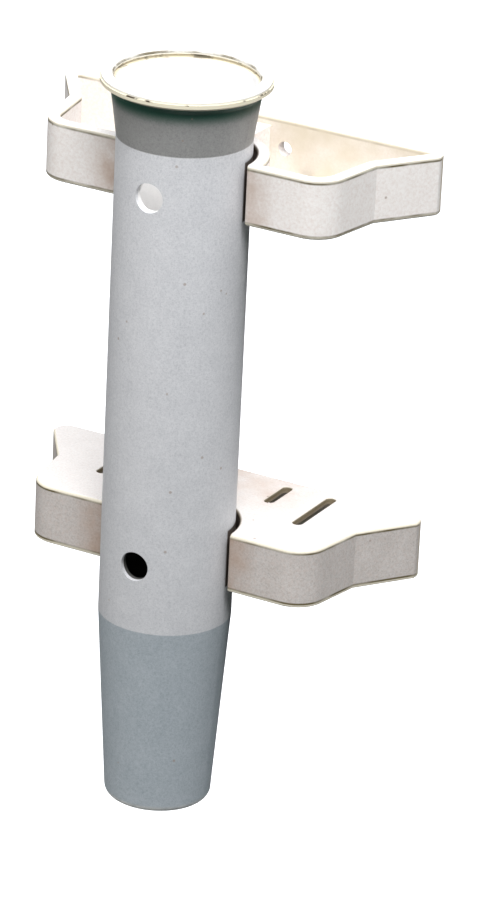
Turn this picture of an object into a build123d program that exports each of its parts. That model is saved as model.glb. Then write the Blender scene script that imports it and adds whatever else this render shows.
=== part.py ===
from build123d import *
import os

# Wall-mounted fishing rod holder: a moulded tube with a flared mouth, held off a bulkhead by two
# moulded brackets. Millimetres. +Z is up, the bulkhead is the plane Y = 0 and the user stands at -Y.
# The origin is the centre of the four bulkhead screw holes, midway between the brackets.

# Driving dimensions
bore_d = 40.0  # straight socket for the rod butt
tube_wall = 3.0
tube_length = 264.0  # mouth ring to foot
stand_off = 51.0  # bulkhead to tube axis
bracket_pitch = 133.0  # between the two brackets' mid-heights
mouth_above_bracket = 37.0  # mouth rim above the upper bracket's mid-height

# Tube
bore_r = bore_d / 2
tube_r = bore_r + tube_wall
axis_y = -stand_off
rim_z = bracket_pitch / 2 + mouth_above_bracket
foot_z = rim_z - tube_length
flare_z = rim_z - 21.4  # where the mouth starts to flare
flare_r = 25.4
taper_z = rim_z - 194.0  # where the foot starts to taper
foot_r = 18.4
foot_round = 3.0
foot_floor = 3.0
drain_r = 4.0
flange_r = 29.0
flange_root_z = rim_z - 4.8
flange_edge_z = rim_z - 2.5
flange_root_round = 2.0
throat_r = 23.2  # inside the flared mouth, under the ring
throat_z = rim_z - 2.2
reveal_r = 25.1  # gap under the ring's inner edge

# Mouth ring, which sits on the flange and is located by a tongue in a groove
ring_t = 1.2
ring_inner_r = 24.4
ring_outer_r = 28.6
seat_z = rim_z - ring_t
tongue_r = (26.0, 27.2)
tongue_depth = 1.1
groove_play = 0.1
ring_round = 0.45

# Brackets: one moulding, used plate up below and plate down above
bracket_h = 21.0
plate_t = 2.4
wall_t = 4.2
front_y = axis_y - 2.0
tip_x = 73.0
tip_front_y = -6.5
notch_x = 59.5
notch_y = -26.0
shoulder_x = 55.0
lip_x = 25.2
cradle_r = 24.4
tip_back_round = 5.0
tip_front_round = 1.5
notch_round = 0.6
shoulder_round = 11.0
lip_round = 0.8
plate_edge_round = 1.1
rim_edge_round = 0.5
land_half = 8.0  # pad at the back of the cradle, the only place where the bracket touches the tube

# Slots in the plate, front to back, to hang lures and tools from
slot_w = 3.8
slot_back_y = -4.6
slots = {21.8: 16.4, 39.0: 27.4}  # distance from the middle: length
slot_edge_round = 0.35

boss_half = 7.5  # nut boss between the cradle and the back wall

# Fixings: an M5 countersunk screw through the back of the tube into a captive nut, for each bracket
screw_r = 2.5
screw_hole_r = 2.75
screw_length = 25.0
head_r = 4.6
head_edge = 0.3
head_play = 0.1
head_sunk = 0.1  # under the bore's surface
recess_w = 1.0
recess_span = 5.0
recess_depth = 1.6
nut_across_flats = 8.0
nut_t = 4.0
nut_play = 0.1
nut_hole_r = 2.55
thread_chamfer = 0.6
access_r = 5.2  # driver hole in the front of the tube

# Bulkhead screws, two in each bracket, reached through holes in the cradle
bulkhead_x = 13.0
bulkhead_hole_r = 2.6
driver_r = 5.2

bracket_z = {"upper": bracket_pitch / 2, "lower": -bracket_pitch / 2}
head_y = axis_y + bore_r + head_sunk
screw_end_y = head_y + screw_length
nut_y = screw_end_y - nut_t
head_cone = head_r - screw_r

tube_axis = Axis((0, axis_y, 0), (0, 0, 1))
tube_plane = Plane(origin=(0, axis_y, 0), x_dir=(1, 0, 0), z_dir=(0, -1, 0))  # (radius, height)


def facing_front(x, y, z):
    """A plane that looks towards the user, with its X along the bracket and its Y upwards."""
    return Plane(origin=(x, y, z), x_dir=(1, 0, 0), z_dir=(0, -1, 0))


# Rod tube: one revolved wall, outside line then inside line
with BuildPart() as rod_tube:
    with BuildSketch(tube_plane):
        with BuildLine():
            Polyline(
                (drain_r, foot_z),
                (foot_r, foot_z),
                (tube_r, taper_z),
                (tube_r, flare_z),
                (flare_r, flange_root_z),
                (flange_r, flange_edge_z),
                (flange_r, seat_z),
                (tongue_r[1] + groove_play, seat_z),
                (tongue_r[1] + groove_play, seat_z - tongue_depth - groove_play),
                (tongue_r[0] - groove_play, seat_z - tongue_depth - groove_play),
                (tongue_r[0] - groove_play, seat_z),
                (reveal_r, seat_z),
                (reveal_r, throat_z),
                (throat_r, throat_z),
                (bore_r, flare_z),
                (bore_r, taper_z),
                (foot_r - tube_wall, foot_z + foot_floor),
                (drain_r, foot_z + foot_floor),
                close=True,
            )
        make_face()
    revolve(axis=tube_axis)
    rings = rod_tube.edges().filter_by(GeomType.CIRCLE)
    fillet(rings.group_by(Axis.Z)[0].sort_by(SortBy.RADIUS)[-1], foot_round)
    root = [e for e in rings if abs(e.radius - flare_r) < 0.01]
    fillet(root, flange_root_round)
    for z in bracket_z.values():
        with Locations(facing_front(0, axis_y - tube_r, z)):
            Hole(access_r, tube_r)
        with Locations(facing_front(0, head_y + head_edge, z)):
            CounterSinkHole(screw_hole_r, head_r + head_play, tube_r / 2, 90)
rod_tube.part.label = "rod_tube"

# Mouth ring: flat ring with rounded lips and a tongue underneath
with BuildPart() as mouth_ring:
    with BuildSketch(tube_plane):
        with BuildLine():
            Polyline(
                (ring_inner_r, seat_z),
                (tongue_r[0], seat_z),
                (tongue_r[0], seat_z - tongue_depth),
                (tongue_r[1], seat_z - tongue_depth),
                (tongue_r[1], seat_z),
                (ring_outer_r, seat_z),
                (ring_outer_r, rim_z),
                (ring_inner_r, rim_z),
                close=True,
            )
        make_face()
    revolve(axis=tube_axis)
    fillet(mouth_ring.edges().group_by(Axis.Z)[-1], ring_round)
mouth_ring.part.label = "mouth_ring"

# Bracket moulding at mid-height zero: plate on top, hollow and open underneath
with BuildPart() as bracket:
    with BuildSketch(Plane.XY.offset(-bracket_h / 2)) as plan:
        with BuildLine():
            FilletPolyline(
                (0, 0),
                (tip_x, 0),
                (tip_x, tip_front_y),
                (notch_x, notch_y),
                (shoulder_x, front_y),
                (lip_x, front_y),
                (cradle_r, axis_y),
                radius=[tip_back_round, tip_front_round, notch_round, shoulder_round, lip_round],
            )
            CenterArc((0, axis_y), cradle_r, 0, 90)
            mirror(about=Plane.YZ)
        make_face()
    extrude(amount=bracket_h)
    fillet(bracket.faces().sort_by(Axis.Z)[-1].edges(), plate_edge_round)

    # The hollow follows the outline at one wall thickness
    with BuildSketch(Plane.XY.offset(-bracket_h / 2)):
        add(plan.sketch_local)
        offset(amount=-wall_t, mode=Mode.REPLACE)
    extrude(amount=bracket_h - plate_t, mode=Mode.SUBTRACT)
    fillet(bracket.faces().sort_by(Axis.Z)[0].edges(), rim_edge_round)

    # Nut boss, which ties the cradle to the back wall
    boss_back = -wall_t / 2
    boss_front = axis_y + cradle_r + wall_t / 2
    with BuildSketch(Plane.XY.offset(bracket_h / 2 - plate_t / 2)):
        with Locations((0, (boss_back + boss_front) / 2)):
            Rectangle(2 * boss_half, boss_back - boss_front)
    extrude(amount=-(bracket_h / 2 - plate_t / 2 + boss_half))

    # Pad that carries the tube
    with BuildSketch(Plane.XY.offset(-bracket_h / 2 + rim_edge_round)):
        with Locations((0, axis_y + cradle_r - wall_t / 4)):
            Rectangle(2 * land_half, 1.5 * wall_t)
        with Locations((0, axis_y)):
            Circle(tube_r, mode=Mode.SUBTRACT)
    extrude(amount=bracket_h - rim_edge_round - plate_edge_round)

    # Slots through the plate
    with BuildSketch(Plane.XY.offset(bracket_h / 2)):
        for slot_x, slot_length in slots.items():
            for side in (-1, 1):
                with Locations((side * slot_x, slot_back_y - slot_length / 2)):
                    SlotOverall(slot_length, slot_w, rotation=90)
    extrude(amount=-plate_t, mode=Mode.SUBTRACT)
    top_face = bracket.faces().sort_by(Axis.Z)[-1]
    fillet(ShapeList([w.edges() for w in top_face.inner_wires()]), slot_edge_round)

    # Tube screw hole and its nut pocket, open at the back
    with Locations(facing_front(0, axis_y + tube_r, 0)):
        Hole(screw_hole_r, stand_off - tube_r)
    with BuildSketch(Plane(origin=(0, 0, 0), x_dir=(1, 0, 0), z_dir=(0, -1, 0))):
        RegularPolygon(nut_across_flats / 2 + nut_play, 6, major_radius=False)
    extrude(amount=-nut_y, mode=Mode.SUBTRACT)

    # Bulkhead screw holes in the back wall and the wider driver holes in the cradle
    for side in (-1, 1):
        with Locations(facing_front(side * bulkhead_x, 0, 0)):
            Hole(bulkhead_hole_r, 2 * wall_t)
        with Locations(facing_front(side * bulkhead_x, axis_y, 0)):
            Hole(driver_r, stand_off - 2 * wall_t)

with BuildPart() as lower_bracket:
    with Locations((0, 0, bracket_z["lower"])):
        add(bracket.part)
lower_bracket.part.label = "lower_bracket"

with BuildPart() as upper_bracket:
    with Locations(Location((0, 0, bracket_z["upper"]), (0, 180, 0))):
        add(bracket.part)
upper_bracket.part.label = "upper_bracket"


def tube_screw(z):
    """Countersunk screw with a cross recess, its head in the back wall of the tube."""
    with BuildPart() as screw:
        with BuildSketch(Plane(origin=(0, 0, z), x_dir=(0, 1, 0), z_dir=(1, 0, 0))):
            with BuildLine():
                Polyline(
                    (head_y, 0),
                    (head_y, head_r),
                    (head_y + head_edge, head_r),
                    (head_y + head_edge + head_cone, screw_r),
                    (screw_end_y - thread_chamfer, screw_r),
                    (screw_end_y, screw_r - thread_chamfer),
                    (screw_end_y, 0),
                    close=True,
                )
            make_face()
        revolve(axis=Axis((0, 0, z), (0, 1, 0)))
        with BuildSketch(facing_front(0, head_y, z)):
            Rectangle(recess_span, recess_w)
            Rectangle(recess_w, recess_span)
        extrude(amount=-recess_depth, mode=Mode.SUBTRACT)
    return screw.part


def captive_nut(z):
    """Hexagon nut with bevelled corners, in the pocket behind the bracket."""
    corner_r = nut_across_flats / 3**0.5
    bevel = (corner_r - nut_across_flats / 2) / 3**0.5
    with BuildPart() as nut:
        with BuildSketch(facing_front(0, nut_y + nut_t, z)):
            RegularPolygon(nut_across_flats / 2, 6, major_radius=False)
        extrude(amount=nut_t)
        with BuildSketch(Plane(origin=(0, 0, z), x_dir=(0, 1, 0), z_dir=(1, 0, 0))):
            with BuildLine():
                Polyline(
                    (nut_y, nut_hole_r),
                    (nut_y, nut_across_flats / 2),
                    (nut_y + bevel, corner_r),
                    (nut_y + nut_t - bevel, corner_r),
                    (nut_y + nut_t, nut_across_flats / 2),
                    (nut_y + nut_t, nut_hole_r),
                    close=True,
                )
            make_face()
        revolve(axis=Axis((0, 0, z), (0, 1, 0)), mode=Mode.INTERSECT)
    return nut.part


os.makedirs("parts", exist_ok=True)
for piece in (rod_tube, mouth_ring, upper_bracket, lower_bracket):
    export_step(piece.part, f"parts/{piece.part.label}.step")
for place, z in bracket_z.items():
    for kind, make in (("tube_screw", tube_screw), ("captive_nut", captive_nut)):
        part = make(z)
        part.label = f"{place}_{kind}"
        export_step(part, f"parts/{part.label}.step")
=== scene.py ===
import math

import bmesh
import bpy
from mathutils import Matrix, Vector


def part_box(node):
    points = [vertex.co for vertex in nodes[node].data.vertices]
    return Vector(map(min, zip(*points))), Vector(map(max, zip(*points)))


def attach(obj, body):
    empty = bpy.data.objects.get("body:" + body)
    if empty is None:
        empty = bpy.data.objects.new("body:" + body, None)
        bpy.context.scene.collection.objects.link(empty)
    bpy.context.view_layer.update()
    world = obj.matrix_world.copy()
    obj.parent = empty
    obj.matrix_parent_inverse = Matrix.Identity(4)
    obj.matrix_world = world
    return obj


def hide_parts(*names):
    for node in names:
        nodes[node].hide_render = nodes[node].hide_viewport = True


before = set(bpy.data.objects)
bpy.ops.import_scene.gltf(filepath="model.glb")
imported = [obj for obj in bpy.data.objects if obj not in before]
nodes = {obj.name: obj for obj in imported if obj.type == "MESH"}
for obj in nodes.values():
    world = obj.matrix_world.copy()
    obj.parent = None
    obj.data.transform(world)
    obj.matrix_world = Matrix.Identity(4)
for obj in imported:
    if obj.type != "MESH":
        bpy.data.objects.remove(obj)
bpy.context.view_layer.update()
mm = 0.001

tubeLow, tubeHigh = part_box("rod_tube")
ringLow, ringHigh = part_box("mouth_ring")
rimZ = ringHigh.z  # top of the mouth
axisY = (ringLow.y + ringHigh.y) / 2  # the tube's axis stands at x = 0
footZ = tubeLow.z
seatZ = tubeHigh.z  # the joint between ring and flange


def startMaterial(name):
    material = bpy.data.materials.new(name)
    material.use_nodes = True
    tree = material.node_tree
    place = tree.nodes.new("ShaderNodeTexCoord").outputs["Object"]
    return material, tree, tree.nodes["Principled BSDF"], place


# value may be a number, a colour or another node's output
def feed(tree, value, socket):
    if isinstance(value, bpy.types.NodeSocket):
        tree.links.new(value, socket)
    elif isinstance(value, tuple):
        socket.default_value = (*value, 1)
    else:
        socket.default_value = value


def maths(tree, operation, a, b=0.0, c=0.0):
    node = tree.nodes.new("ShaderNodeMath")
    node.operation = operation
    for value, socket in zip((a, b, c), node.inputs):
        feed(tree, value, socket)
    return node.outputs[0]


def times(tree, *values):
    total = values[0]
    for value in values[1:]:
        total = maths(tree, "MULTIPLY", total, value)
    return total


# noise whose features are about size metres across
def noise(tree, place, size, detail):
    node = tree.nodes.new("ShaderNodeTexNoise")
    node.inputs["Scale"].default_value = 1 / size
    node.inputs["Detail"].default_value = detail
    tree.links.new(place, node.inputs["Vector"])
    return node.outputs["Fac"]


# toLow up to low, toHigh from high on, and even or soft in between
def spread(tree, value, low, high, toLow=0.0, toHigh=1.0, soft=False):
    node = tree.nodes.new("ShaderNodeMapRange")
    if soft:
        node.interpolation_type = "SMOOTHSTEP"
    for key, number in zip(("From Min", "From Max", "To Min", "To Max"), (low, high, toLow, toHigh)):
        feed(tree, number, node.inputs[key])
    tree.links.new(value, node.inputs["Value"])
    return node.outputs["Result"]


# 1 between low and high, 0 outside, over a soft edge
def band(tree, value, low, high, blur):
    rise = spread(tree, value, low - blur, low + blur, soft=True)
    fall = spread(tree, value, high - blur, high + blur, 1.0, 0.0, soft=True)
    return maths(tree, "MULTIPLY", rise, fall)


# noise with its values from low to high drawn out to toLow to toHigh
def blotches(tree, place, size, detail, low, high, toLow=0.0, toHigh=1.0):
    return spread(tree, noise(tree, place, size, detail), low, high, toLow, toHigh)


def mixColour(tree, share, a, b):
    node = tree.nodes.new("ShaderNodeMix")
    node.data_type = "RGBA"
    sockets = {socket.identifier: socket for socket in node.inputs}
    for key, value in (("Factor_Float", share), ("A_Color", a), ("B_Color", b)):
        feed(tree, value, sockets[key])
    return next(socket for socket in node.outputs if socket.identifier == "Result_Color")


# x, y, z and the distance from the tube's axis
def axes(tree, place):
    split = tree.nodes.new("ShaderNodeSeparateXYZ")
    tree.links.new(place, split.inputs["Vector"])
    x, y, z = split.outputs
    across = maths(tree, "SUBTRACT", y, axisY)
    radius = maths(tree, "SQRT", maths(tree, "ADD", times(tree, x, x), times(tree, across, across)))
    return x, y, z, radius


# positions that lie the given distances from start
def fromLevel(start, distances):
    return tuple(start + distance for distance in distances)


cameraView = {
    "azimuth": 28.2,  # degrees round from the front, towards +X
    "pitch": 22.65,
    "roll": 2.77,
    "lens": 213.9,
    "distance": 1.822,
    "targetBelowRim": 138 * mm,
    "aimRight": 25.7 * mm,  # the object stands left of the middle
    "aimUp": 2.8 * mm,
    "clipEnd": 100.0,
}


def addCamera(view):
    turn, tilt, roll = (math.radians(view[key]) for key in ("azimuth", "pitch", "roll"))
    right = Vector((math.cos(turn), math.sin(turn), 0))
    up = Vector((-math.sin(tilt) * math.sin(turn), math.sin(tilt) * math.cos(turn), math.cos(tilt)))
    back = right.cross(up)
    rolledRight = right * math.cos(roll) + up * math.sin(roll)
    rolledUp = up * math.cos(roll) - right * math.sin(roll)
    target = Vector((0, axisY, rimZ - view["targetBelowRim"]))
    place = target + back * view["distance"] + rolledRight * view["aimRight"] + rolledUp * view["aimUp"]
    turned = Matrix((rolledRight, rolledUp, back)).transposed().to_4x4()
    data = bpy.data.cameras.new("camera")
    data.lens = view["lens"]
    data.clip_end = view["clipEnd"]
    camera = bpy.data.objects.new("camera", data)
    camera.matrix_world = Matrix.Translation(place) @ turned
    bpy.context.scene.collection.objects.link(camera)
    bpy.context.scene.camera = camera


addCamera(cameraView)
print("camera set")


lamps = {
    "key": {  # large and soft, above and in front
        "elevation": 52.0,
        "azimuth": 42.0,
        "distance": 1.25,
        "width": 0.75,
        "power": 16.5,
        "colour": (1.0, 1.0, 1.0),
    },
    "fill": {  # low on the left, and a little warm
        "elevation": 8.0,
        "azimuth": -52.0,
        "distance": 1.5,
        "width": 1.0,
        "power": 6.5,
        "colour": (1.0, 0.965, 0.93),
    },
    "bounce": {  # what the paper below throws back
        "elevation": -72.0,
        "azimuth": 28.0,
        "distance": 1.2,
        "width": 0.9,
        "power": 1.8,
        "colour": (1.0, 1.0, 1.0),
    },
}
studio = {
    "skyFrom": 28.0,  # degrees up, where the overhead light begins
    "skyFull": 48.0,
    "sky": (2.05, 2.08, 2.14),
    "ground": (0.030, 0.042, 0.040),
    "backdrop": (1.0, 1.0, 1.0),  # white paper behind the object
    "floor": (0.85, 0.85, 0.85),
    "floorGlow": (1.0, 1.0, 1.0),
    "floorGlowStrength": 0.5,
    "floorBelowFoot": 1.6,
    "floorSize": 40.0,
}


def addLamp(name, look):
    turn, tilt = (math.radians(look[key]) for key in ("azimuth", "elevation"))
    towardLight = Vector((math.sin(turn) * math.cos(tilt),
                          -math.cos(turn) * math.cos(tilt),
                          math.sin(tilt)))
    data = bpy.data.lights.new(name, "AREA")
    data.shape = "DISK"
    data.size = look["width"]
    data.energy = look["power"]
    data.color = look["colour"]
    lamp = bpy.data.objects.new(name, data)
    lamp.location = Vector((0, axisY, rimZ)) + towardLight * look["distance"]
    lamp.rotation_euler = towardLight.to_track_quat("Z", "Y").to_euler()
    lamp.visible_camera = False
    bpy.context.scene.collection.objects.link(lamp)


# bright overhead and dark below for the object, plain paper for the camera
def addSky(look):
    world = bpy.data.worlds.new("studio")
    bpy.context.scene.world = world
    world.use_nodes = True
    tree = world.node_tree
    tree.nodes.clear()
    split = tree.nodes.new("ShaderNodeSeparateXYZ")
    feed(tree, tree.nodes.new("ShaderNodeTexCoord").outputs["Generated"], split.inputs["Vector"])
    skyFrom, skyFull = (math.sin(math.radians(look[key])) for key in ("skyFrom", "skyFull"))
    overhead = spread(tree, split.outputs["Z"], skyFrom, skyFull, soft=True)
    room = tree.nodes.new("ShaderNodeBackground")
    feed(tree, mixColour(tree, overhead, look["ground"], look["sky"]), room.inputs["Color"])
    paper = tree.nodes.new("ShaderNodeBackground")
    feed(tree, look["backdrop"], paper.inputs["Color"])
    mix = tree.nodes.new("ShaderNodeMixShader")
    isCamera = tree.nodes.new("ShaderNodeLightPath").outputs["Is Camera Ray"]
    for value, socket in zip((isCamera, room.outputs[0], paper.outputs[0]), mix.inputs):
        feed(tree, value, socket)
    out = tree.nodes.new("ShaderNodeOutputWorld")
    feed(tree, mix.outputs[0], out.inputs["Surface"])


def addFloor(look):
    bm = bmesh.new()
    bmesh.ops.create_grid(bm, x_segments=1, y_segments=1, size=look["floorSize"] / 2)
    bmesh.ops.translate(bm, verts=bm.verts, vec=(0, 0, footZ - look["floorBelowFoot"]))
    mesh = bpy.data.meshes.new("floor")
    bm.to_mesh(mesh)
    bm.free()
    floor = bpy.data.objects.new("floor", mesh)
    bpy.context.scene.collection.objects.link(floor)
    floor.visible_diffuse = False
    floor.visible_glossy = False
    material, tree, shader = startMaterial("floorPaper")[:3]
    feed(tree, look["floor"], shader.inputs["Base Color"])
    feed(tree, look["floorGlow"], shader.inputs["Emission Color"])
    feed(tree, look["floorGlowStrength"], shader.inputs["Emission Strength"])
    mesh.materials.append(material)


for name, look in lamps.items():
    addLamp(name, look)
addSky(studio)
addFloor(studio)
bpy.context.scene.view_settings.view_transform = "Standard"
print("studio lit")


# blotches are given as their size, their detail, the noise values where they
# start and are full, and at times their least and their most
grain = {
    "clouds": {"pattern": (9 * mm, 3, 0.30, 0.70), "share": 0.22},
    "mottle": {"pattern": (1.0 * mm, 3, 0.32, 0.68), "share": 0.35},
    "flecks": {"pattern": (0.48 * mm, 2, 0.45, 0.75), "share": 0.55},
    "peel": {"size": 3.2 * mm, "detail": 2, "depth": 0.045 * mm},
    "spark": {"size": 0.45 * mm, "detail": 2, "depth": 0.020 * mm},  # from the spark-eroded mould
    "speckSpacing": 7 * mm,
    "speckSize": 0.055,  # share of the spacing
    "speckBlur": 1.6,  # times the speck's size
    "speckFew": (0.55, 0.60),
    "speckShare": 0.6,
    "roughSpread": (-0.06, 0.07),
    "specular": 0.3,
    "dashes": (4.5 * mm, 3, 0.56, 0.64),  # broken painted shadow in the joint under the ring
}


# light plastic, clouded and mottled towards dark
def grainColour(tree, place, light, dark):
    share = 0.0
    for key in ("clouds", "mottle", "flecks"):
        layer = blotches(tree, place, *grain[key]["pattern"])
        share = maths(tree, "MULTIPLY_ADD", layer, grain[key]["share"], share)
    return mixColour(tree, share, light, dark)


# a few tiny specks of dirt moulded in or picked up in use
def addSpecks(tree, place, colour, speckColour):
    cells = tree.nodes.new("ShaderNodeTexVoronoi")
    cells.inputs["Scale"].default_value = 1 / grain["speckSpacing"]
    tree.links.new(place, cells.inputs["Vector"])
    size = grain["speckSize"]
    dot = spread(tree, cells.outputs["Distance"], size, size * grain["speckBlur"], 1.0, 0.0)
    few = spread(tree, cells.outputs["Color"], *grain["speckFew"])
    return mixColour(tree, times(tree, dot, few, grain["speckShare"]), colour, speckColour)


# the moulded skin: fine bumps, and a roughness that strays a little
def addGrain(tree, shader, place, rough):
    normal = None
    for key in ("peel", "spark"):
        layer = grain[key]
        bump = tree.nodes.new("ShaderNodeBump")
        bump.inputs["Distance"].default_value = layer["depth"]
        tree.links.new(noise(tree, place, layer["size"], layer["detail"]), bump.inputs["Height"])
        if normal:
            tree.links.new(normal, bump.inputs["Normal"])
        normal = bump.outputs["Normal"]
    tree.links.new(normal, shader.inputs["Normal"])
    strayed = fromLevel(rough, grain["roughSpread"])
    roughness = blotches(tree, place, *grain["clouds"]["pattern"], *strayed)
    tree.links.new(roughness, shader.inputs["Roughness"])
    shader.inputs["Specular IOR Level"].default_value = grain["specular"]


tubeLook = {
    "body": ((0.735, 0.735, 0.755), (0.525, 0.53, 0.555)),  # the light and dark of the grain
    # painted shade: the lower tone darkens the tube towards the foot
    "lower": ((0.65, 0.65, 0.665), (0.47, 0.475, 0.495)),
    # painted shade: the flare and the taper, which face a little downwards, get darker tones
    "flareShade": ((0.375, 0.37, 0.365), (0.25, 0.25, 0.245)),
    "taperShade": ((0.475, 0.515, 0.55), (0.30, 0.345, 0.375)),
    "boreLight": ((0.90, 0.89, 0.88), (0.84, 0.83, 0.82)),
    "edge": (0.80, 0.74, 0.58),  # yellowed edge of the flange
    "gapShade": (0.055, 0.035, 0.020),
    "flangeShadowTone": (0.004, 0.080, 0.050),  # painted shadow under the flange, green-black
    "speck": (0.33, 0.25, 0.20),
    "gap": (0.70, 0.64, 0.50),  # painted shade in the gap under the ring
    "footHighlight": (0.93, 0.93, 0.92),
    "boreShade": (0.035, 0.033, 0.030),  # painted shade down in the bore
    "rough": 0.52,
    "flareBelowRim": 21.4 * mm,
    "taperBelowRim": 194 * mm,
    "fadeBelowRim": 40 * mm,  # where the body begins to turn to lower, the painted shade that darkens the tube towards the foot
    "zoneBlur": 0.15 * mm,
    "flangeRootBelowRim": 4.8 * mm,
    "flangeEdgeR": 27.2 * mm,
    "flangeEdgeBlur": 0.5 * mm,
    "edgeFromRoot": (-0.2 * mm, 1.4 * mm),
    "flangeShadowFromRoot": (-6.5 * mm, -1.0 * mm),
    "flangeShadowShare": 0.93,
    "jointFromSeat": (-0.30 * mm, 0.1 * mm),
    "gapFromSeat": (-1.2 * mm, 0.2 * mm),
    "gapR": (23.4 * mm, 25.6 * mm),
    "gapBlur": 0.1 * mm,
    "gapDashShare": 0.5,
    "footHighlightFromFoot": (1.5 * mm, 3.0 * mm),
    "footHighlightPatches": (5 * mm, 3, 0.25, 0.5, 0.35, 1.0),
    "heldFromAxis": (0.2 * mm, 0.7 * mm),
    "heldBlur": 0.4 * mm,
    "heldShare": 0.93,
    "wallMiddle": 21.5 * mm,  # half way through the wall, on the straight part
    "flareSlope": 0.145,
    "taperSlope": 0.0657,
    "boreFromFoot": 2.5 * mm,
    "boreShadeFromRim": (-95 * mm, -150 * mm),
    "boreShadeShare": 0.95,
}


def tubePlastic(look):
    material, tree, shader, place = startMaterial("tubePlastic")
    y, z, radius = axes(tree, place)[1:]
    flareZ = rimZ - look["flareBelowRim"]
    taperZ = rimZ - look["taperBelowRim"]
    blur = look["zoneBlur"]
    body, lower, flareShade, taperShade, boreLight = (
        grainColour(tree, place, *look[zone]) for zone in ("body", "lower", "flareShade", "taperShade", "boreLight"))
    # painted shade, darker towards the foot
    colour = mixColour(tree, spread(tree, z, rimZ - look["fadeBelowRim"], taperZ), body, lower)
    # painted shade on the flare and on the taper
    colour = mixColour(tree, spread(tree, z, flareZ - blur, flareZ + blur), colour, flareShade)
    colour = mixColour(tree, spread(tree, z, taperZ - blur, taperZ + blur, 1.0, 0.0), colour, taperShade)

    # painted shadow under the flange, green-black and darkest in the corner
    root = rimZ - look["flangeRootBelowRim"]
    flangeShadow = spread(tree, z, *fromLevel(root, look["flangeShadowFromRoot"]), 0.0, look["flangeShadowShare"], soft=True)
    colour = mixColour(tree, flangeShadow, colour, look["flangeShadowTone"])
    colour = addSpecks(tree, place, colour, look["speck"])

    # yellowed flange edge, with broken painted shadow in the joint under the ring
    edgeR = look["flangeEdgeR"]
    onEdge = times(tree, spread(tree, radius, edgeR, edgeR + look["flangeEdgeBlur"]),
                   spread(tree, z, *fromLevel(root, look["edgeFromRoot"])))
    colour = mixColour(tree, onEdge, colour, look["edge"])
    dashes = blotches(tree, place, *grain["dashes"])
    joint = band(tree, z, *fromLevel(seatZ, look["jointFromSeat"]), look["gapBlur"])
    colour = mixColour(tree, times(tree, joint, onEdge, dashes), colour, look["gapShade"])

    # painted highlight along the foot's lower edge, and painted shadow where the brackets' cradles hold
    # the tube
    footHighlight = spread(tree, z, *fromLevel(footZ, look["footHighlightFromFoot"]), 1.0, 0.0, soft=True)
    highlightPatches = blotches(tree, place, *look["footHighlightPatches"])
    colour = mixColour(tree, times(tree, footHighlight, highlightPatches), colour, look["footHighlight"])
    # painted shadow in the gap between the tube and the brackets' lips
    held = spread(tree, y, *fromLevel(axisY, look["heldFromAxis"]))
    for name in ("upper", "lower"):
        low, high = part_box(name + "_bracket")
        here = band(tree, z, low.z, high.z, look["heldBlur"])
        colour = mixColour(tree, times(tree, held, here, look["heldShare"]), colour, look["gapShade"])

    # painted light: the bore is whiter than the outside, and painted shade darkens it deep down
    aboveFlare = maths(tree, "MAXIMUM", maths(tree, "SUBTRACT", z, flareZ), 0.0)
    belowTaper = maths(tree, "MAXIMUM", maths(tree, "SUBTRACT", taperZ, z), 0.0)
    middle = maths(tree, "MULTIPLY_ADD", aboveFlare, look["flareSlope"], look["wallMiddle"])
    middle = maths(tree, "MULTIPLY_ADD", belowTaper, -look["taperSlope"], middle)
    inBore = times(tree, maths(tree, "LESS_THAN", radius, middle),
                   maths(tree, "GREATER_THAN", z, footZ + look["boreFromFoot"]))
    boreShade = spread(tree, z, *fromLevel(rimZ, look["boreShadeFromRim"]), 0.0, look["boreShadeShare"], soft=True)
    colour = mixColour(tree, inBore, colour, mixColour(tree, boreShade, boreLight, look["boreShade"]))

    # painted shade in the gap under the ring, broken by darker dashes
    gap = times(tree, band(tree, z, *fromLevel(seatZ, look["gapFromSeat"]), look["gapBlur"]),
                band(tree, radius, *look["gapR"], look["gapBlur"]))
    recessShade = mixColour(tree, times(tree, dashes, look["gapDashShare"]), look["gap"], look["gapShade"])
    colour = mixColour(tree, gap, colour, recessShade)
    feed(tree, colour, shader.inputs["Base Color"])
    addGrain(tree, shader, place, look["rough"])
    return material


ringLook = {
    "body": ((0.90, 0.89, 0.86), (0.84, 0.82, 0.76)),
    "edge": (0.78, 0.72, 0.56),
    "line": (0.13, 0.105, 0.055),  # painted shadow line round the inner edge
    "gapShade": (0.06, 0.04, 0.025),
    "speck": (0.35, 0.27, 0.20),
    "rough": 0.42,
    "edgeFromSeat": (0.25 * mm, 0.7 * mm),
    "edgeShare": 0.6,
    "jointFromSeat": (0.05 * mm, 0.2 * mm),
    "lineR": 24.62 * mm,
    "lineBlur": 0.8 * mm,
    "lineFromRim": (-0.80 * mm, -0.70 * mm),
    "lineBroken": (6 * mm, 4, 0.35, 0.62, 0.25, 0.95),
}


def ringPlastic(look):
    material, tree, shader, place = startMaterial("ringPlastic")
    z, radius = axes(tree, place)[2:]
    colour = addSpecks(tree, place, grainColour(tree, place, *look["body"]), look["speck"])

    # yellowed lower edge, with the joint's broken painted shadow
    edge = spread(tree, z, *fromLevel(seatZ, look["edgeFromSeat"]), 1.0, 0.0, soft=True)
    colour = mixColour(tree, times(tree, edge, look["edgeShare"]), colour, look["edge"])
    joint = spread(tree, z, *fromLevel(seatZ, look["jointFromSeat"]), 1.0, 0.0)
    dashes = blotches(tree, place, *grain["dashes"])
    colour = mixColour(tree, times(tree, joint, dashes), colour, look["gapShade"])

    # painted shadow line round the inner edge, broken by noise
    lineR = look["lineR"]
    line = times(tree, spread(tree, radius, lineR, lineR + look["lineBlur"], 1.0, 0.0),
                 spread(tree, z, *fromLevel(rimZ, look["lineFromRim"])),
                 blotches(tree, place, *look["lineBroken"]))
    colour = mixColour(tree, line, colour, look["line"])
    feed(tree, colour, shader.inputs["Base Color"])
    addGrain(tree, shader, place, look["rough"])
    return material


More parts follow.
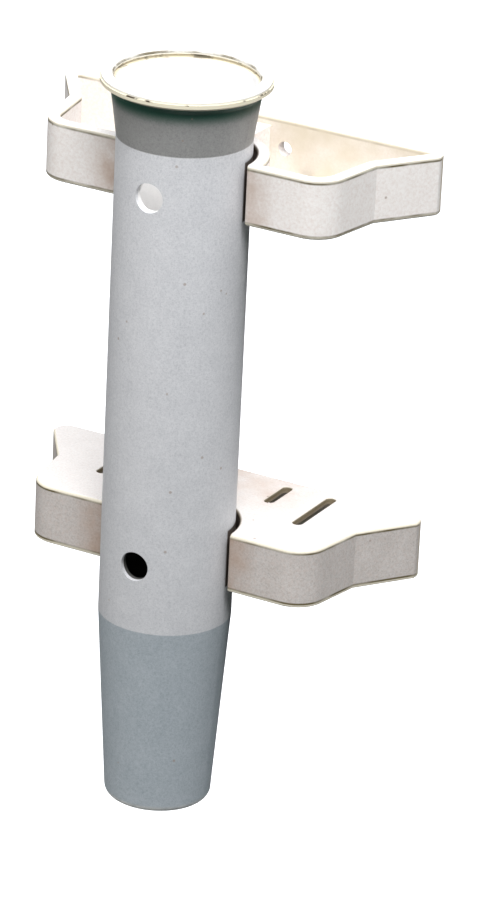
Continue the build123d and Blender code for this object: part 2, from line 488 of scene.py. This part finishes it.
bracketLook = {
    # painted light and shade: the upper bracket is lighter and the lower darker, from how the light
    # falls on them
    "upper": ((0.955, 0.92, 0.895), (0.84, 0.785, 0.75)),
    "lower": ((0.685, 0.645, 0.62), (0.45, 0.405, 0.375)),
    "pink": (0.62, 0.47, 0.40),
    "endFaceLight": (0.90, 0.885, 0.87),
    "wallShade": (0.66, 0.59, 0.46),
    "gapShade": (0.10, 0.07, 0.05),
    "edge": (0.80, 0.74, 0.56),
    "line": (0.12, 0.095, 0.04),
    "warmTone": (0.47, 0.30, 0.20),
    "slotShade": (0.22, 0.17, 0.10),
    "speck": (0.30, 0.20, 0.15),
    "rough": 0.52,
    "warm": (1.1 * mm, 3, 0.42, 0.75, 0.0, 0.26),
    "faceFromEnd": (-0.3 * mm, -0.1 * mm),  # an end is the bracket's top or its bottom
    "endFaceLightShare": 0.35,
    "tonePatches": (8 * mm, 4, 0.3, 0.75, 0.15, 0.75),
    "toneSide": (38 * mm, 25 * mm),  # from none to full, out from the middle
    "toneFromFront": (1.5 * mm, 3 * mm),
    "toneFromEnd": (-1.3 * mm, -0.9 * mm),
    "plateShadowSide": (40 * mm, 22 * mm),
    "plateShadowY": (-34 * mm, -12 * mm),
    "plateShadowShare": 0.62,
    "edgeFromEnd": (-1.3 * mm, -0.12 * mm),
    "edgeBlur": 0.08 * mm,
    "edgeShare": 0.6,
    "lineBelowEdge": 1.25 * mm,
    "lineHalf": 0.34 * mm,
    "lineBlur": 0.25 * mm,
    "lineBroken": (12 * mm, 3, 0.36, 0.62, 0.35, 1.0),
    "wallShadeY": (-5.0 * mm, -3.9 * mm),
    "wallShadeBlur": 0.1 * mm,
    "wallShadeFromEnd": (-1.0 * mm, -0.3 * mm),
    "wallShadeAcross": (-20 * mm, 20 * mm, 0.3, 1.0),  # fainter on the left
    "wallShadePatches": (14 * mm, 2, 0.3, 0.6, 0.4, 0.9),
    "cradleShadeR": (24.6 * mm, 25.2 * mm),
    "cradleShadeShare": 0.9,
    "slots": {21.8 * mm: -21.5 * mm, 39.0 * mm: -32.5 * mm},  # distance from the middle: front end
    "slotHalf": 2.3 * mm,
    "slotBackY": -4.2 * mm,
    "slotBlur": 0.05 * mm,
    "slotFromEnd": (-2.6 * mm, -0.4 * mm),
    "slotEndBlur": 0.15 * mm,
    "slotShare": 0.85,
}


def bracketPlastic(name, look):
    material, tree, shader, place = startMaterial(name + "BracketPlastic")
    x, y, z, radius = axes(tree, place)
    low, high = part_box(name + "_bracket")
    rise = maths(tree, "SUBTRACT", z, (low.z + high.z) / 2)
    height = maths(tree, "ABSOLUTE", rise)
    half = (high.z - low.z) / 2
    side = maths(tree, "ABSOLUTE", x)
    colour = grainColour(tree, place, *look[name])
    colour = mixColour(tree, blotches(tree, place, *look["warm"]), colour, look["pink"])
    # painted light: the bracket's end faces are made lighter
    plateFace = spread(tree, height, *fromLevel(half, look["faceFromEnd"]))
    colour = mixColour(tree, times(tree, plateFace, look["endFaceLightShare"]), colour, look["endFaceLight"])

    # warm brown tone on the front beside the tube, and a painted shadow of the tube on the plate behind
    # it
    patches = blotches(tree, place, *look["tonePatches"])
    warmTone = times(tree, spread(tree, side, *look["toneSide"], soft=True), patches,
                  spread(tree, y, *fromLevel(low.y, look["toneFromFront"]), 1.0, 0.0),
                  spread(tree, height, *fromLevel(half, look["toneFromEnd"]), 1.0, 0.0))
    colour = mixColour(tree, warmTone, colour, look["warmTone"])
    plateShadow = times(tree, spread(tree, side, *look["plateShadowSide"], soft=True),
                       spread(tree, y, *look["plateShadowY"], 0.0, look["plateShadowShare"], soft=True),
                       plateFace, patches)
    colour = mixColour(tree, plateShadow, colour, look["warmTone"])
    colour = addSpecks(tree, place, colour, look["speck"])

    # cream-tinted rounded edges, and a fine dark line where the rounding meets the wall
    edge = band(tree, height, *fromLevel(half, look["edgeFromEnd"]), look["edgeBlur"])
    colour = mixColour(tree, times(tree, edge, look["edgeShare"]), colour, look["edge"])
    lineAt = half - look["lineBelowEdge"]
    line = band(tree, height, lineAt - look["lineHalf"], lineAt + look["lineHalf"], look["lineBlur"])
    broken = blotches(tree, place, *look["lineBroken"])
    colour = mixColour(tree, times(tree, line, broken), colour, look["line"])

    # painted shade on the inner side of the back wall, and painted shade in the cradle
    backWallShade = times(tree, band(tree, y, *look["wallShadeY"], look["wallShadeBlur"]),
                     spread(tree, height, *fromLevel(half, look["wallShadeFromEnd"]), 1.0, 0.0),
                     spread(tree, x, *look["wallShadeAcross"]),
                     blotches(tree, place, *look["wallShadePatches"]))
    colour = mixColour(tree, backWallShade, colour, look["wallShade"])
    # painted shade in the cradle round the tube
    cradleShade = spread(tree, radius, *look["cradleShadeR"], look["cradleShadeShare"], 0.0)
    colour = mixColour(tree, cradleShade, colour, look["gapShade"])

    # painted shade on the walls of the slots, which go through the plate towards the other bracket
    towardOther = maths(tree, "MULTIPLY", rise, 1.0 if name == "lower" else -1.0)
    plate = band(tree, towardOther, *fromLevel(half, look["slotFromEnd"]), look["slotEndBlur"])
    for slotX, slotFront in look["slots"].items():
        across = band(tree, side, slotX - look["slotHalf"], slotX + look["slotHalf"], look["slotBlur"])
        along = band(tree, y, slotFront, look["slotBackY"], look["slotBlur"])
        recessShade = times(tree, across, along, plate, look["slotShare"])
        colour = mixColour(tree, recessShade, colour, look["slotShade"])
    feed(tree, colour, shader.inputs["Base Color"])
    addGrain(tree, shader, place, look["rough"])
    return material


steelLook = {
    "dark": (0.50, 0.49, 0.47),
    "light": (0.66, 0.65, 0.63),
    "clouds": (1.2 * mm, 3),  # size and detail
    "turned": (0.25 * mm, 2),
    "turnedDepth": 0.006 * mm,
    "turnedFrom": (0.3, 0.7),
    "rough": (0.26, 0.42),
}


def stainlessSteel(look):
    material, tree, shader, place = startMaterial("stainless")
    tone = mixColour(tree, noise(tree, place, *look["clouds"]), look["dark"], look["light"])
    feed(tree, tone, shader.inputs["Base Color"])
    shader.inputs["Metallic"].default_value = 1.0
    turned = noise(tree, place, *look["turned"])
    feed(tree, spread(tree, turned, *look["turnedFrom"], *look["rough"]), shader.inputs["Roughness"])
    bump = tree.nodes.new("ShaderNodeBump")
    bump.inputs["Distance"].default_value = look["turnedDepth"]
    tree.links.new(turned, bump.inputs["Height"])
    tree.links.new(bump.outputs["Normal"], shader.inputs["Normal"])
    return material


def dress(node, material):
    mesh = nodes[node].data
    mesh.materials.clear()
    mesh.materials.append(material)


screwSize = {
    "headR": 4.6 * mm,
    "headEdge": 0.3 * mm,
    "headCornerIn": 0.15 * mm,
    "headCornerDeep": 0.1 * mm,
    "roundSteps": 48,
    "shankR": 2.46 * mm,
    "neckOut": 0.2 * mm,  # where the head's cone runs out into the shank
    "neckDeep": 0.4 * mm,
    "plainLength": 4.6 * mm,  # from the top of the head to the thread
    "coreIn": 0.03 * mm,  # the shank's end, out of sight in the thread
    "coreLength": 0.5 * mm,
    "crestR": 2.5 * mm,
    "rootR": 2.01 * mm,
    "pitch": 0.8 * mm,
    "flanks": (0.10, 0.44, 0.56, 0.90),  # shares of the pitch: up from, up to, down from, down to
    "stepsInTurn": 24,
    "spareTurns": 2,
    "tipChamfer": 0.6 * mm,
    "recessR": 2.4 * mm,
    "recessHalf": 0.55 * mm,
    "recessDepth": 1.7 * mm,
    "recessTaper": 0.55,
    "recessProud": 0.3 * mm,
    "mergeWithin": 0.002 * mm,
    "sharpAngle": 0.5,  # radians
}


# turns (radius, height) points about the line along +Y through centre
def spinProfile(bm, points, centre, turns, steps, size, rise=0.0):
    verts = [bm.verts.new(centre + Vector((0, y, r))) for r, y in points]
    edges = [bm.edges.new(pair) for pair in zip(verts, verts[1:])]
    bmesh.ops.spin(bm, geom=verts + edges, cent=centre, axis=(0, 1, 0), dvec=(0, rise, 0),
                   angle=turns * math.tau, steps=steps, use_merge=rise == 0)
    bmesh.ops.remove_doubles(bm, verts=bm.verts, dist=size["mergeWithin"])
    bmesh.ops.recalc_face_normals(bm, faces=bm.faces)


def meshObject(name, bm):
    mesh = bpy.data.meshes.new(name)
    bm.to_mesh(mesh)
    bm.free()
    made = bpy.data.objects.new(name, mesh)
    bpy.context.scene.collection.objects.link(made)
    return made


# the tapered cross that the driver's recess is cut with
def recessCutter(centre, size):
    bm = bmesh.new()
    arm, half = size["recessR"], size["recessHalf"]
    outline = []
    for quarter in range(4):
        turn = Matrix.Rotation(quarter * math.pi / 2, 3, "Y")
        for x, z in ((half, half), (arm, half), (arm, -half)):
            outline.append(bm.verts.new(turn @ Vector((x, 0, z))))
    mouth = bm.faces.new(outline)
    deep = bmesh.ops.extrude_face_region(bm, geom=[mouth])["geom"]
    floor = [part for part in deep if isinstance(part, bmesh.types.BMVert)]
    bmesh.ops.scale(bm, verts=floor, vec=(size["recessTaper"], 1, size["recessTaper"]))
    bmesh.ops.translate(bm, verts=floor, vec=(0, size["recessDepth"], 0))
    bmesh.ops.translate(bm, verts=outline, vec=(0, -size["recessProud"], 0))
    bmesh.ops.translate(bm, verts=bm.verts, vec=centre)
    bmesh.ops.recalc_face_normals(bm, faces=bm.faces)
    return meshObject("recessCutter", bm)


def addHead(name, centre, size):
    headR, edge, crest, shankR = (size[key] for key in ("headR", "headEdge", "crestR", "shankR"))
    neck, plain = size["neckOut"], size["plainLength"]
    cone = edge + headR - crest
    bm = bmesh.new()
    spinProfile(bm, [
        (0, 0),
        (headR - size["headCornerIn"], 0),
        (headR, size["headCornerDeep"]),
        (headR, edge),
        (crest + neck, cone - neck),
        (shankR, cone + size["neckDeep"]),
        (shankR, plain),
        (size["rootR"] - size["coreIn"], plain + size["coreLength"]),
        (0, plain + size["coreLength"]),
    ], centre, 1, size["roundSteps"], size)
    screw = meshObject(name + "ThreadedScrew", bm)
    cutter = recessCutter(centre, size)
    cut = screw.modifiers.new("recess", "BOOLEAN")
    cut.object = cutter
    bpy.context.view_layer.update()
    depsgraph = bpy.context.evaluated_depsgraph_get()
    shaped = bpy.data.meshes.new_from_object(screw.evaluated_get(depsgraph))
    screw.modifiers.clear()
    screw.data = shaped
    bpy.data.objects.remove(cutter)
    return screw


# one pitch of 60 degree thread wound along the shank, cut square at both ends and closed
def windThread(bm, centre, length, size):
    pitch, root, crest, steps = (size[key] for key in ("pitch", "rootR", "crestR", "stepsInTurn"))
    start, end = size["plainLength"], length
    turns = math.ceil((end - start) / pitch) + size["spareTurns"]
    upFrom, upTo, downFrom, downTo = size["flanks"]
    form = ((root, 0), (root, upFrom), (crest, upTo), (crest, downFrom), (root, downTo), (root, 1))
    spinProfile(bm, [(r, (share - 1) * pitch + start) for r, share in form], centre,
                turns, turns * steps, size, pitch / steps)
    for y, outwards in ((centre.y + start, -1), (centre.y + end, 1)):
        bmesh.ops.bisect_plane(bm, geom=bm.verts[:] + bm.edges[:] + bm.faces[:], plane_co=(0, y, 0),
                               plane_no=(0, outwards, 0), clear_outer=True)
    bmesh.ops.holes_fill(bm, edges=[edge for edge in bm.edges if edge.is_boundary], sides=0)
    chamferStart = centre.y + end - size["tipChamfer"]
    for vert in bm.verts:
        away = Vector((vert.co.x, vert.co.z - centre.z))
        most = crest - max(0.0, vert.co.y - chamferStart)
        if away.length > most:
            away *= most / away.length
            vert.co.x, vert.co.z = away.x, centre.z + away.y
    bmesh.ops.recalc_face_normals(bm, faces=bm.faces)


def addScrew(name, size, material):
    low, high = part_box(name + "_tube_screw")
    centre = Vector((0, low.y, (low.z + high.z) / 2))
    screw = addHead(name, centre, size)
    bm = bmesh.new()
    windThread(bm, centre, high.y - low.y, size)
    bm.from_mesh(screw.data)
    for face in bm.faces:
        face.smooth = True
    for edge in bm.edges:
        if len(edge.link_faces) == 2 and edge.calc_face_angle() > size["sharpAngle"]:
            edge.smooth = False
    bm.to_mesh(screw.data)
    openEdges = sum(edge.is_boundary for edge in bm.edges)
    bm.free()
    print(name, "screw wound,", openEdges, "open edges")
    screw.data.materials.clear()
    screw.data.materials.append(material)
    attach(screw, "root")
    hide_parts(name + "_tube_screw")


steel = stainlessSteel(steelLook)
dress("rod_tube", tubePlastic(tubeLook))
dress("mouth_ring", ringPlastic(ringLook))
for name in ("upper", "lower"):
    dress(name + "_bracket", bracketPlastic(name, bracketLook))
    dress(name + "_tube_screw", steel)
    addScrew(name, screwSize, steel)
    dress(name + "_captive_nut", steel)
print("materials and screws on")
